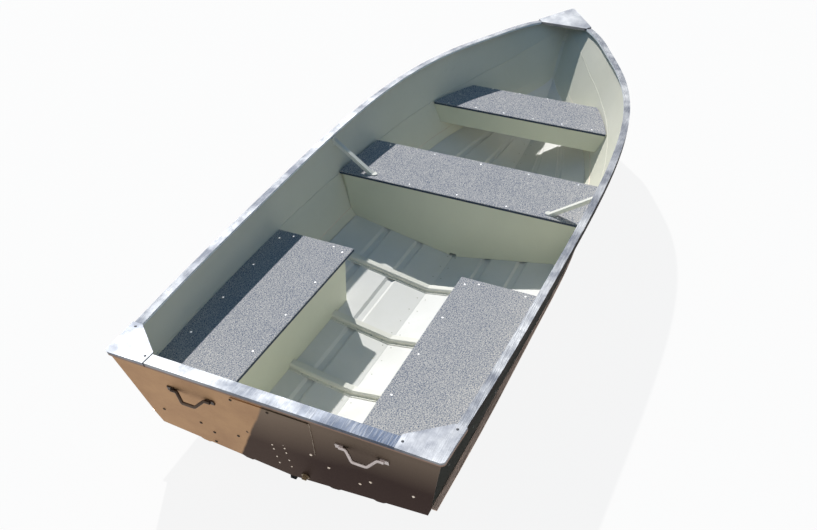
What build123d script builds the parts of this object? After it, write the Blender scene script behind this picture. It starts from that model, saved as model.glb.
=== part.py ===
"""Riveted aluminium fishing boat with a shallow V bottom, about 3.7 m long.

X runs forward, Y to port and Z up. The hull is drawn from the aft top edge of the transom, and
the finished pieces are moved so that the origin lies at the waterline on the centre line.
All lengths are in millimetres.
"""
from build123d import *
from collections import namedtuple
from math import atan2, cos, hypot, sin
import os

# Whole boat
HULL_LENGTH = 3700.0            # transom to the tip of the bow
BEAM = 1363.0                   # over the gunwales at the widest
HULL_DEPTH = 502.0              # top of the transom down to the lowest point of the bottom
WATERLINE_BELOW_RAIL = 421.0    # floating empty
ORIGIN_FROM_TRANSOM = 1650.0
JOINT = 0.3                     # gap between two fitted pieces

# Hull sheet and extrusions
SHEET = 3.0
GUNWALE_WIDTH = 32.0
GUNWALE_TOP = 4.0
GUNWALE_LEG = 3.0
GUNWALE_OUTER_DROP = 30.0
GUNWALE_INNER_DROP = 10.0
GUNWALE_OVERHANG = 5.0          # outer face beyond the hull sheet
CHINE_FLANGE = 20.0             # spray flange beyond the side
CHINE_SHEET = 4.0
KEEL_WIDTH = 22.0
KEEL_HEIGHT = 20.0
STRAKE_DEPTH = 8.0
STRAKE_SHARE = 0.045            # half width of a pressed strake as a share of its panel

# Transom
TRANSOM_SKIN = 3.0
TRANSOM_CORE = 36.0
RAIL_WIDTH = 50.0
RAIL_SHEET = 3.0
RAIL_OUTER_DROP = 26.0
RAIL_INNER_DROP = 12.0
CAP_ALONG_RAIL = 150.0
CAP_FORWARD = 165.0             # forward edge of a corner cap
CAP_DROP = 24.0
CAP_SHEET = 3.0
CAP_CORNER = 14.0               # inside radius of the skirt
CAP_LAP = 16.0                  # rail end under a corner cap
GUNWALE_AFT = 26.0              # gunwale end under a corner cap
GUNWALE_SHORT = 24.0            # gunwale end short of the tip, under the bow cap
BOW_CAP_LENGTH = 192.0
BOW_CAP_SQUARE = 25.0           # how far its outer corners lie forward of its aft edge
BOW_CAP_RISE = 38.0
BOW_CAP_DROP = 14.0
BOW_CAP_LIP = 12.0              # aft edge folded down between the gunwales
BOW_CAP_TIP = 12.0

# Seats
SEAT_LIP = 12.0                 # depth of a seat top with its folded edge
SEAT_SHEET = 3.0
RISER = 3.0
RISER_END_SLOPE = 0.18          # lean of the riser's straight ends
RISER_WING = 70.0               # width of the bent wedge before it is cut to the side
RISER_WING_SLOPE = 1.4          # how far it goes outboard for each millimetre forward
SEAT_END_GAP = 8.0
THWART_DEPTH = 390.0
THWART_AFT = HULL_LENGTH * 0.5140 - THWART_DEPTH / 2
THWART_FORWARD = THWART_AFT + THWART_DEPTH
THWART_TOP = -158.0
THWART_OVERHANG = 5.0
BOW_SEAT_DEPTH = 320.0
BOW_SEAT_AFT = HULL_LENGTH * 0.7595 - BOW_SEAT_DEPTH / 2
BOW_SEAT_FORWARD = BOW_SEAT_AFT + BOW_SEAT_DEPTH
BOW_SEAT_TOP = -151.0
BOW_BOX_HEIGHT = 118.0
BENCH_FORWARD = HULL_LENGTH * 0.3076
BENCH_INNER = 250.0
BENCH_TOP = -174.0
BENCH_OVERHANG = 30.0
NOTCH_WIDTH = 34.0              # limber hole over the keel
NOTCH_HEIGHT = 16.0

# Ribs across the floor
RIB_PLACES = [HULL_LENGTH * share for share in (0.1676, 0.2662, 0.3784, 0.6351)]
RIB_WIDTH = 40.0
RIB_FLANGE = 12.0
RIB_CHAMFER = 6.0
RIB_HEIGHT = 20.0
RIB_SHEET = 3.0
RIB_END_GAP = 14.0

# Fittings
BRACE_PLACE = THWART_AFT + 43.0
BRACE_FOOT_Y = 446.0
BRACE_WIDTH = 24.0
BRACE_THICKNESS = 18.0
BRACE_WALL = 2.0
BRACE_TAB = 4.0
BRACE_PAD = 16.0                # radius of the foot
HANDLE_CENTRES = (315.0, -335.0)
HANDLE_SPAN = 160.0
HANDLE_BELOW_RAIL = 118.0
HANDLE_HANG = 22.0
HANDLE_ROD = 6.0
HANDLE_STAND_OFF = 28.0
HANDLE_GRIP = 52.0              # length of the part that is held
HANDLE_LUG_WIDTH = 30.0
HANDLE_LUG_HEIGHT = 22.0
HANDLE_LUG_SHEET = 4.0
MOTOR_PLATE_TOP = 302.0
MOTOR_PLATE_FOOT = 262.0
MOTOR_PLATE_HEIGHT = 211.0
MOTOR_PLATE_BELOW_RAIL = 39.0
MOTOR_PLATE_SHEET = 3.0
MOTOR_PLATE_CORNER = 12.0
MOTOR_PLATE_Y = -10.0
PLUG_Y = -62.0
PLUG_BELOW_RAIL = 438.0
BOW_EYE_BELOW_RAIL = 60.0
STEM_WIDTH = 46.0
STEM_DEPTH = 9.0

# Table of offsets, outside of the sheet, for a hull 3700 long, 1363 wide and 502 deep. A station
# is a plane across the boat: plane_x is where it crosses the height of the transom's top, and
# lean is how far it runs forward for each millimetre up.
Station = namedtuple(
    "Station",
    "plane_x lean sheer_y sheer_z crease_y crease_z chine_y chine_z bilge_y bilge_z keel_z",
)
OFFSETS = (
    Station(4, -0.275, 615, -8, 585, -165, 551, -350, 536, -405, -475),
    Station(550, -0.18, 650, 4, 617, -170, 563, -354, 542, -404, -487),
    Station(1100, -0.08, 668, 15, 632, -173, 566, -357, 543, -402, -496),
    Station(1700, 0.0, 678, 27, 624, -176, 565, -357, 540, -399, -502),
    Station(2180, 0.06, 662, 38, 592, -172, 529, -346, 504, -388, -502),
    Station(2600, 0.16, 603, 49, 528, -158, 465, -327, 441, -367, -498),
    Station(2950, 0.32, 487, 63, 425, -128, 363, -297, 343, -338, -484),
    Station(3230, 0.55, 335, 78, 288, -78, 242, -257, 228, -302, -450),
    Station(3420, 0.78, 193, 92, 152, -16, 126, -215, 117, -262, -390),
    Station(3533, 0.93, 62, 103, 50, 32, 42, -182, 39, -224, -297),
    Station(3584, 1.0, 17, 110, 15, 52, 13, -165, 12, -200, -240),
)
DRAWN = (3700.0, 1363.0, 502.0)


def scaled(drawn):
    """A station of the table at the size of this boat."""
    along, across, up = HULL_LENGTH / DRAWN[0], BEAM / DRAWN[1], HULL_DEPTH / DRAWN[2]
    return Station(
        drawn.plane_x * along, drawn.lean * along / up,
        drawn.sheer_y * across, drawn.sheer_z * up,
        drawn.crease_y * across, drawn.crease_z * up,
        drawn.chine_y * across, drawn.chine_z * up,
        drawn.bilge_y * across, drawn.bilge_z * up,
        drawn.keel_z * up,
    )


STATIONS = [scaled(drawn) for drawn in OFFSETS]
TRANSOM = STATIONS[0]
STEM = STATIONS[-1]
SHEER_X = [s.plane_x + s.lean * s.sheer_z for s in STATIONS]


def slant(index):
    """How much longer a thickness is across the boat where the side runs inwards."""
    low = max(index - 1, 0)
    high = min(index + 1, len(STATIONS) - 1)
    run = STATIONS[high].sheer_y - STATIONS[low].sheer_y
    return hypot(1.0, run / (SHEER_X[high] - SHEER_X[low]))


SLANT = [slant(index) for index in range(len(STATIONS))]


def loft_along(profile, last=None):
    """A solid whose section at each station is profile(station, slant), a closed list of (y, z).

    Each corner of the section runs along the hull on its own smooth line, and ruled faces join
    neighbouring lines, so pieces drawn from the same stations fit each other everywhere.
    """
    stations = STATIONS[:last]
    sections = [
        [Vector(s.plane_x + s.lean * z, y, z) for y, z in profile(s, SLANT[number])]
        for number, s in enumerate(stations)
    ]
    tracks = [
        Edge.make_spline(list(line), parameters=SHEER_X[:last]) for line in zip(*sections)
    ]
    return skinned(tracks, sections[0], sections[-1])


def skinned(tracks, first, last):
    """A solid of ruled faces between neighbouring tracks, closed by a flat face at each end."""
    faces = [
        Face.make_surface_from_curves(track, tracks[number - 1])
        for number, track in enumerate(tracks)
    ]
    for end in (first, last):
        faces.append(Face(Wire.make_polygon(end, close=True)))
    return Solid(Shell(faces))


def box(x0, x1, y0, y1, z0, z1):
    """A block between two corners."""
    block = Solid.make_box(x1 - x0, y1 - y0, z1 - z0)
    return block.moved(Location((x0, y0, z0)))


def mirrored(shape):
    """The starboard twin of a port piece."""
    return shape.mirror(Plane.XZ)


def largest(shape):
    """The main solid of a cut, without crumbs."""
    return max(shape.solids(), key=lambda solid: solid.volume)


# Hull shell
def side_profile(s, slant_here):
    """Side sheet from under the gunwale to the chine, bent along the crease."""
    outside = [
        (s.sheer_y, s.sheer_z - GUNWALE_TOP - JOINT),
        (s.crease_y, s.crease_z),
        (s.chine_y, s.chine_z + JOINT),
    ]
    return outside + [(y - SHEET * slant_here, z) for y, z in reversed(outside)]


def chine_foot(s):
    """Width of the foot of the chine extrusion, measured level."""
    return CHINE_SHEET * hypot(1.0, (s.chine_y - s.bilge_y) / (s.chine_z - s.bilge_z))


def chine_profile(s, slant_here):
    """Chine extrusion: a spray flange outside and a sloping band down to the bottom."""
    flange = CHINE_FLANGE * slant_here * min(1.0, s.chine_y / 130.0)
    inward = (s.chine_y - s.bilge_y) / (s.chine_z - s.bilge_z)
    foot = chine_foot(s)
    return [
        (s.chine_y + flange, s.chine_z),
        (s.chine_y + flange, s.chine_z - CHINE_SHEET),
        (s.chine_y - CHINE_SHEET * inward, s.chine_z - CHINE_SHEET),
        (s.bilge_y, s.bilge_z),
        (s.bilge_y - foot, s.bilge_z),
        (s.chine_y - foot, s.chine_z),
    ]


def bottom_lines(s):
    """Outer and inner face of the bottom sheet: bilge end and keel end of each."""
    outer_end = (s.bilge_y - chine_foot(s) - JOINT, s.bilge_z)
    outer_keel = (JOINT, s.keel_z)
    slope = atan2(outer_end[1] - outer_keel[1], outer_end[0] - outer_keel[0])
    inner_end = (outer_end[0] - SHEET * sin(slope), outer_end[1] + SHEET * cos(slope))
    inner_keel = (JOINT, s.keel_z + SHEET / cos(slope))
    return outer_end, outer_keel, inner_end, inner_keel


def bottom_profile(s, slant_here):
    """Bottom sheet from the chine to the keel, with two strakes pressed outwards."""
    outer_end, outer_keel, inner_end, inner_keel = bottom_lines(s)
    depth = STRAKE_DEPTH * s.bilge_y / TRANSOM.bilge_y
    outside, inside = [outer_end], [inner_end]
    for centre in (1 / 3, 2 / 3):
        for reach, drop in ((-1.0, 0.0), (-0.5, depth), (0.5, depth), (1.0, 0.0)):
            share = centre + reach * STRAKE_SHARE
            for face, end, keel in (
                (outside, outer_end, outer_keel),
                (inside, inner_end, inner_keel),
            ):
                y = end[0] + (keel[0] - end[0]) * share
                z = end[1] + (keel[1] - end[1]) * share
                face.append((y, z - drop))
    return outside + [outer_keel, inner_keel] + inside[::-1][:-1] + [inner_end]


def gunwale_profile(s, slant_here):
    """Gunwale extrusion: a flat top with a deep outer leg and a short inner leg."""
    outer = s.sheer_y + GUNWALE_OVERHANG * slant_here
    inner = outer - GUNWALE_WIDTH * slant_here
    leg = GUNWALE_LEG * slant_here
    top = s.sheer_z
    return [
        (outer, top),
        (outer, top - GUNWALE_OUTER_DROP),
        (outer - leg, top - GUNWALE_OUTER_DROP),
        (outer - leg, top - GUNWALE_TOP),
        (inner + leg, top - GUNWALE_TOP),
        (inner + leg, top - GUNWALE_INNER_DROP),
        (inner, top - GUNWALE_INNER_DROP),
        (inner, top),
    ]


def cavity_profile(gap):
    """Section of the space inside the hull sheets, drawn in by a gap."""
    def profile(s, slant_here):
        wall = SHEET * slant_here + gap
        _, _, inner_end, inner_keel = bottom_lines(s)
        port = [
            (s.sheer_y - wall, s.sheer_z),
            (s.crease_y - wall, s.crease_z),
            (s.chine_y - chine_foot(s) - gap, s.chine_z),
            (inner_end[0], inner_end[1] + gap),
        ]
        return port + [(0.0, inner_keel[1] + gap)] + [(-y, z) for y, z in reversed(port)]
    return profile


SIDE = loft_along(side_profile)
CHINE = loft_along(chine_profile)
BOTTOM = loft_along(bottom_profile)
GUNWALE = largest(
    loft_along(gunwale_profile)
    & box(GUNWALE_AFT, HULL_LENGTH - GUNWALE_SHORT, JOINT, BEAM, -HULL_DEPTH, HULL_DEPTH)
)
CAVITY = loft_along(cavity_profile(JOINT), last=10)
SEAT_SPACE = loft_along(cavity_profile(SEAT_END_GAP), last=10)


def slice_at(shape, x):
    """Corners of a piece where a cross plane cuts it."""
    plane = Face.make_rect(4 * BEAM, 4 * BEAM, Plane(origin=(x, 0, 0), z_dir=(1, 0, 0)))
    return [(corner.Y, corner.Z) for corner in (plane & shape).vertices()]


def gunwale_outside(x):
    """Outer top corner of the gunwale."""
    return max(slice_at(GUNWALE, x), key=lambda corner: corner[0] + corner[1])


def plate(points, normal, thickness):
    """A flat sheet from its outline, thickened along a direction."""
    face = Face(Wire.make_polygon(points, close=True))
    return Solid.extrude(face, Vector(*normal).normalized() * thickness)


# Keel and stem
KEEL_LINE = [(s.plane_x + s.lean * s.keel_z, s.keel_z) for s in STATIONS]


def keel_offset(distances):
    """Points at given distances outside the keel line, in the plane of symmetry."""
    points = []
    for number, (x, z) in enumerate(KEEL_LINE):
        before = KEEL_LINE[max(number - 1, 0)]
        after = KEEL_LINE[min(number + 1, len(KEEL_LINE) - 1)]
        run = hypot(after[0] - before[0], after[1] - before[1])
        aside = distances[number]
        points.append((
            x + (after[1] - before[1]) / run * aside,
            -KEEL_WIDTH / 2,
            z - (after[0] - before[0]) / run * aside,
        ))
    return points


def make_keel():
    """Keel extrusion along the joint of the two bottom sheets, thinner towards the stem."""
    count = len(KEEL_LINE)
    upper = keel_offset([2 * JOINT] * count)
    depths = [KEEL_HEIGHT] * (count - 4) + [KEEL_HEIGHT - 3, KEEL_HEIGHT - 6, 12.0, STEM_DEPTH]
    lower = keel_offset(depths)
    edges = [
        Edge.make_spline(upper, parameters=SHEER_X),
        Edge.make_line(upper[-1], lower[-1]),
        Edge.make_spline(lower[::-1]),
        Edge.make_line(lower[0], upper[0]),
    ]
    return Solid.extrude(Face(Wire(edges)), Vector(0, KEEL_WIDTH, 0))


def make_stem():
    """Flat stem strip that closes the sides from the forefoot to the bow cap."""
    lean = STEM.lean
    length = hypot(lean, 1.0)
    out = Vector(1.0 / length, 0, -lean / length)
    base = Vector(STEM.plane_x, 0, 0) + out * JOINT

    def at(z, aside):
        return base + Vector(lean * z, 0, z) + out * aside

    low = STEM.keel_z + 6.0
    high = STEM.sheer_z - GUNWALE_TOP - 8.0
    outline = [at(low, 0), at(high, 0), at(high, STEM_DEPTH), at(low, STEM_DEPTH)]
    half = STEM_WIDTH / 2
    strip = plate([p - Vector(0, half, 0) for p in outline], (0, 1, 0), STEM_WIDTH)
    return strip


# Transom
def off_transom(z, aside):
    """X of a plane parallel to the transom at a height; aside counts forward."""
    return TRANSOM.plane_x + TRANSOM.lean * z + aside * hypot(1.0, TRANSOM.lean)


AFTWARD = (-1.0, 0.0, TRANSOM.lean)
CAP_INNER = TRANSOM.sheer_y - CAP_ALONG_RAIL
CAP_HINGE = CAP_INNER + CAP_LAP


def make_transom_skin():
    """Outer sheet of the transom, over the ends of the side and bottom sheets."""
    top = -RAIL_SHEET - JOINT
    lean_in = (TRANSOM.sheer_y - TRANSOM.crease_y) / (TRANSOM.sheer_z - TRANSOM.crease_z)
    sheer_y = TRANSOM.crease_y + lean_in * (top - GUNWALE_TOP - TRANSOM.crease_z)
    profile = bottom_profile(TRANSOM, SLANT[0])
    outside = profile[:10]
    port = [
        (sheer_y, TRANSOM.sheer_z - GUNWALE_TOP - JOINT),
        (TRANSOM.crease_y, TRANSOM.crease_z),
        (TRANSOM.chine_y, TRANSOM.chine_z),
        (TRANSOM.bilge_y, TRANSOM.bilge_z),
    ] + outside
    shoulder = TRANSOM.sheer_y - 42.0
    port = [(shoulder, top), (shoulder, TRANSOM.sheer_z - GUNWALE_TOP - JOINT)] + port
    ring = port + [(-y, z) for y, z in reversed(port)]
    points = [(off_transom(z, -JOINT), y, z) for y, z in ring]
    return plate(points, AFTWARD, TRANSOM_SKIN)


def make_transom_core():
    """Plywood behind the skin, carrying the motor."""
    top = -RAIL_SHEET - JOINT
    wall = SHEET * SLANT[0] + JOINT
    _, _, inner_end, inner_keel = bottom_lines(TRANSOM)
    shoulder = TRANSOM.sheer_y - 46.0
    port = [
        (shoulder, top),
        (shoulder, TRANSOM.sheer_z - GUNWALE_INNER_DROP - 2 * JOINT),
        (TRANSOM.crease_y - wall, TRANSOM.crease_z),
        (TRANSOM.chine_y - chine_foot(TRANSOM) - JOINT, TRANSOM.chine_z),
        (TRANSOM.bilge_y - chine_foot(TRANSOM) - JOINT, inner_end[1] + 1.0),
        (JOINT, inner_keel[1] + 1.0),
    ]
    ring = port + [(-y, z) for y, z in reversed(port)]
    points = [(off_transom(z, 0.0), y, z) for y, z in ring]
    return plate(points, (1, 0, 0), TRANSOM_CORE * hypot(1.0, TRANSOM.lean))


def make_rail():
    """Top rail of the transom: a channel turned down over skin and core."""
    half = CAP_HINGE - 2.0
    back = -(2 * JOINT + TRANSOM_SKIN + RAIL_SHEET)
    low = -RAIL_OUTER_DROP
    front = off_transom(0, back) + RAIL_WIDTH
    outline = [
        (off_transom(0, back), 0),
        (front, 0),
        (front + TRANSOM.lean * -RAIL_INNER_DROP, -RAIL_INNER_DROP),
        (front + TRANSOM.lean * -RAIL_INNER_DROP - RAIL_SHEET, -RAIL_INNER_DROP),
        (front + TRANSOM.lean * -RAIL_SHEET - RAIL_SHEET, -RAIL_SHEET),
        (off_transom(-RAIL_SHEET, back + RAIL_SHEET), -RAIL_SHEET),
        (off_transom(low, back + RAIL_SHEET), low),
        (off_transom(low, back), low),
    ]
    return plate([(x, -half, z) for x, z in outline], (0, 1, 0), 2 * half)


def cap_block(grow, inboard, top, drop):
    """Port corner cap as a full block; grow moves its aft and outboard faces outwards."""
    high = JOINT + CAP_SHEET
    aft = off_transom(high, -(3 * JOINT + TRANSOM_SKIN + RAIL_SHEET)) - grow
    fore_y, fore_z = gunwale_outside(CAP_FORWARD)
    middle = (GUNWALE_AFT + CAP_FORWARD) / 2
    middle_y = gunwale_outside(middle)[0] + 0.8 + grow
    flare = (fore_y + 1.0 + grow - middle_y) / (CAP_FORWARD - middle)
    aft_y = gunwale_outside(GUNWALE_AFT + 1.0)[0] + 0.4 + grow
    outline = [
        Vector(aft, CAP_INNER - inboard, 0),
        Vector(off_transom(0, 0) + RAIL_WIDTH + inboard, CAP_INNER - inboard, 0),
        Vector(CAP_FORWARD + inboard, fore_y - GUNWALE_WIDTH - 4.0 - inboard, 0),
        Vector(CAP_FORWARD + inboard, fore_y + 1.0 + grow + flare * inboard, 0),
        Vector(middle, middle_y, 0),
        Vector(aft, aft_y, 0),
    ]
    face = Face(Wire.make_polygon(outline, close=True))
    corner = max(face.vertices(), key=lambda vertex: vertex.Y - vertex.X)
    face = face.fillet_2d(CAP_CORNER + grow, [corner])
    prism = Solid.extrude(face, Vector(-TRANSOM.lean, 0, -1.0) * drop)
    # The top falls from the rail to the gunwale.
    far = BEAM
    fall = -fore_z / (fore_y - CAP_HINGE) * (far - CAP_HINGE)
    lid = plate(
        [(-far, -far, top), (-far, CAP_HINGE, top), (-far, far, top - fall),
         (-far, far, far), (-far, -far, far)],
        (1, 0, 0), 2 * far,
    )
    return prism.moved(Location((0, 0, high))) - lid


def make_corner_cap():
    """Port corner cap: a plate over rail and gunwale with a skirt aft and outboard."""
    outer = cap_block(CAP_SHEET, 0.0, JOINT + CAP_SHEET, CAP_DROP)
    inside = cap_block(0.0, 60.0, JOINT, CAP_DROP + 40.0)
    return largest(outer - inside)


def bow_block(grow, aft_grow, low, lift):
    """Bow cap as a full block under its rising top; grow moves the sides outwards."""
    aft = HULL_LENGTH - BOW_CAP_LENGTH
    corner = aft + BOW_CAP_SQUARE
    last = HULL_LENGTH - GUNWALE_SHORT - 2.0
    corner_y = gunwale_outside(corner)[0] + grow
    last_y = gunwale_outside(last)[0] + grow
    narrowing = (corner_y - last_y) / (last - corner)
    inner_y = gunwale_outside(aft)[0] - GUNWALE_WIDTH * hypot(1.0, narrowing) - 2.0
    port = [
        Vector(aft - aft_grow, inner_y, 0),
        Vector(corner - aft_grow, corner_y + narrowing * aft_grow, 0),
        Vector(last, last_y, 0),
    ]
    tip = Vector(last + last_y / narrowing, 0, 0)
    ring = port + [tip] + [Vector(p.X, -p.Y, 0) for p in reversed(port)]
    face = Face(Wire.make_polygon(ring, close=True))
    point = max(face.vertices(), key=lambda vertex: vertex.X)
    face = face.fillet_2d(BOW_CAP_TIP + grow, [point])
    prism = Solid.extrude(face, Vector(0, 0, HULL_DEPTH)).moved(Location((0, 0, low)))
    base = gunwale_outside(aft)[1] + lift
    rise = BOW_CAP_RISE / BOW_CAP_LENGTH * BEAM
    lid = plate(
        [(aft - BEAM, -BEAM, base - rise), (aft + BEAM, -BEAM, base + rise),
         (aft + BEAM, -BEAM, 2 * BEAM), (aft - BEAM, -BEAM, 2 * BEAM)],
        (0, 1, 0), 2 * BEAM,
    )
    return prism - lid


def make_bow_cap():
    """Bow cap: a rising plate over the meeting gunwales with a skirt outside them."""
    aft = HULL_LENGTH - BOW_CAP_LENGTH
    low = gunwale_outside(aft)[1]
    outer = bow_block(3 * JOINT + CAP_SHEET, 0.0, low - BOW_CAP_DROP, JOINT + CAP_SHEET)
    inside = bow_block(3 * JOINT, 60.0, low - BOW_CAP_DROP - 60.0, JOINT)
    inner = gunwale_outside(aft)[0] - GUNWALE_WIDTH * 1.5 - 6.0
    lip = box(aft, aft + CAP_SHEET, -inner, inner, low - BOW_CAP_LIP, low + JOINT + CAP_SHEET / 2)
    return largest((outer - inside) + lip)


# Ribs
def floor_corners(x):
    """Height of the floor over the keel, and place of its bilge corner, at a cross plane."""
    corners = [c for c in slice_at(CAVITY, x) if c[1] < TRANSOM.chine_z / 2]
    keel = min(c[1] for c in corners)
    bilge = min((c for c in corners if c[0] > 1.0 and c[1] > keel + 1.0), key=lambda c: c[1])
    return keel, bilge


def across_floor(x, profile, short):
    """A bar across the floor, whose section is a list of (forward, height over the floor)."""
    reach = RIB_WIDTH / 2 + RIB_FLANGE
    aft_keel, aft_bilge = floor_corners(x - reach)
    fore_keel, fore_bilge = floor_corners(x + reach)
    half = fore_bilge[0] - short
    halves = []
    for side in (-1, 1):
        sections = []
        for y in (0.0, side * half):
            points = []
            for forward, height in profile:
                share = (forward + reach) / (2 * reach)
                aft_z = aft_keel + (aft_bilge[1] - aft_keel) * abs(y) / aft_bilge[0]
                fore_z = fore_keel + (fore_bilge[1] - fore_keel) * abs(y) / fore_bilge[0]
                points.append(Vector(x + forward, y, aft_z + (fore_z - aft_z) * share + height))
            sections.append(points)
        halves.append(sections)
    (middle, starboard), (_, port) = halves
    faces = []
    for number in range(len(profile)):
        before = number - 1
        for end in (starboard, port):
            here = Edge.make_line(middle[number], end[number])
            there = Edge.make_line(middle[before], end[before])
            faces.append(Face.make_surface_from_curves(here, there))
    for end in (starboard, port):
        faces.append(Face(Wire.make_polygon(end, close=True)))
    return Solid(Shell(faces))


def make_rib(x):
    """Hat section rib across the floor, open underneath, with a flange on each side."""
    half = RIB_WIDTH / 2
    inside = half - RIB_SHEET
    port = [
        (half + RIB_FLANGE, 0.0),
        (half + RIB_FLANGE, RIB_SHEET),
        (half, RIB_SHEET),
        (half, RIB_HEIGHT - RIB_CHAMFER),
        (half - RIB_CHAMFER, RIB_HEIGHT),
    ]
    hollow = [
        (inside - RIB_CHAMFER, RIB_HEIGHT - RIB_SHEET),
        (inside, RIB_HEIGHT - RIB_SHEET - RIB_CHAMFER),
        (inside, 0.0),
    ]
    outside = port + [(-forward, height) for forward, height in reversed(port)]
    inner = [(-forward, height) for forward, height in reversed(hollow)] + hollow
    return across_floor(x, outside + inner, RIB_END_GAP)


def rib_blank(x):
    """Cutter for what stands over a rib, with a gap all round."""
    half = RIB_WIDTH / 2 + JOINT
    foot = half + RIB_FLANGE
    port = [(foot, -10.0), (foot, RIB_SHEET + JOINT), (half, RIB_SHEET + JOINT),
            (half, RIB_HEIGHT + JOINT)]
    ring = port + [(-forward, height) for forward, height in reversed(port)]
    return across_floor(x, ring, 0.0)


RIB_BLANKS = [rib_blank(x) for x in RIB_PLACES]


def keel_notch(x):
    """Cutter for a limber hole over the keel joint."""
    floor = min(z for y, z in slice_at(CAVITY, x))
    return box(
        x - 20.0, x + 20.0, -NOTCH_WIDTH / 2, NOTCH_WIDTH / 2, floor - 5.0, floor + NOTCH_HEIGHT,
    )


# Seats
def make_seat_top(aft, forward, top, space):
    """Seat top folded down along its long edges, cut to the sides of the hull."""
    board = largest(box(aft, forward, -BEAM, BEAM, top - SEAT_LIP, top) & space)
    long_edges = [edge for edge in board.edges().filter_by(Axis.Y) if edge.center().Z > top - 1.0]
    board = board.fillet(4.0, long_edges)
    under = box(
        aft + SEAT_SHEET, forward - SEAT_SHEET, -BEAM, BEAM, top - 2 * SEAT_LIP, top - SEAT_SHEET,
    )
    return largest(board - under)


def make_thwart_riser(x, turn):
    """Cross panel under the middle seat, standing on the floor.

    A wedge beside each end is bent back towards the side of the hull, under the seat, along a
    line that leans outboard; turn is 1 where it is bent forward and -1 where aft.
    """
    corners = sorted(slice_at(CAVITY, x), key=lambda c: c[1])
    chine = [c for c in corners if c[0] > 1.0][1]
    fold = Vector(0, RISER_END_SLOPE, 1.0).normalized()
    outboard = Vector(0, fold.Z, -fold.Y)
    run = hypot(1.0, RISER_WING_SLOPE)
    forward, aside = 1.0 / run, RISER_WING_SLOPE / run
    section = [
        (-BEAM, 0.0),
        (0.0, 0.0),
        (RISER_WING * aside, RISER_WING * forward),
        (RISER_WING * aside - RISER * forward, RISER_WING * forward + RISER * aside),
        (-RISER * forward / (1.0 + aside), RISER),
        (-BEAM, RISER),
    ]
    if turn < 0:
        section = [(out, RISER - ahead) for out, ahead in section]
    start = Vector(x, chine[0], chine[1]) - fold * HULL_DEPTH
    points = [start + outboard * out + Vector(ahead, 0, 0) for out, ahead in section]
    sheet = plate(points, tuple(fold), 2 * HULL_DEPTH)
    top = THWART_TOP - SEAT_SHEET - JOINT
    port = largest(sheet & box(0, HULL_LENGTH, 0, BEAM, -2 * HULL_DEPTH, top))
    port = largest(port & CAVITY)
    return largest((port + mirrored(port)) - keel_notch(x))


def make_bow_box():
    """Shallow box under the bow seat: aft face, underside and forward face in one."""
    aft = BOW_SEAT_AFT + THWART_OVERHANG
    forward = BOW_SEAT_FORWARD - THWART_OVERHANG
    top = BOW_SEAT_TOP - SEAT_SHEET - JOINT
    low = BOW_SEAT_TOP - BOW_BOX_HEIGHT
    outer = box(aft, forward, -BEAM, BEAM, low, top)
    inside = box(aft + RISER, forward - RISER, -BEAM, BEAM, low + RISER, top + 50.0)
    return largest((outer - inside) & CAVITY)


def make_bench_riser():
    """Port stern bench riser: inboard panel and forward end panel, bent from one sheet."""
    inboard = BENCH_INNER + BENCH_OVERHANG
    end = BENCH_FORWARD - BENCH_OVERHANG
    top = BENCH_TOP - SEAT_SHEET - JOINT
    low = -2 * HULL_DEPTH
    aft_top = off_transom(top, TRANSOM_CORE + JOINT)
    aft_low = off_transom(low, TRANSOM_CORE + JOINT)

    def block(shrink):
        outline = [
            (aft_top, inboard + shrink, top + shrink),
            (end - shrink, inboard + shrink, top + shrink),
            (end - shrink, inboard + shrink, low),
            (aft_low, inboard + shrink, low),
        ]
        if shrink:
            outline[0] = (aft_top - 200.0, inboard + shrink, top + shrink)
            outline[3] = (aft_low - 200.0, inboard + shrink, low)
        return plate(outline, (0, 1, 0), BEAM)

    riser = largest((block(0.0) - block(RISER)) & CAVITY)
    for blank in RIB_BLANKS:
        riser = riser - blank
    return largest(riser)


def make_bench_top():
    """Port stern bench top, folded down inboard and forward, cut to the side of the hull."""
    low = BENCH_TOP - SEAT_LIP
    aft = off_transom(low, TRANSOM_CORE + JOINT)
    board = largest(box(aft, BENCH_FORWARD, BENCH_INNER, BEAM, low, BENCH_TOP) & CAVITY)
    inboard = [
        edge for edge in board.edges()
        if edge.center().Z > BENCH_TOP - 1.0 and edge.center().Y < BENCH_INNER + 1.0
    ]
    under = box(
        0.0, BENCH_FORWARD - SEAT_SHEET, BENCH_INNER + SEAT_SHEET, BEAM,
        low - SEAT_LIP, BENCH_TOP - SEAT_SHEET,
    )
    return largest(board.fillet(4.0, inboard) - under)


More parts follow.
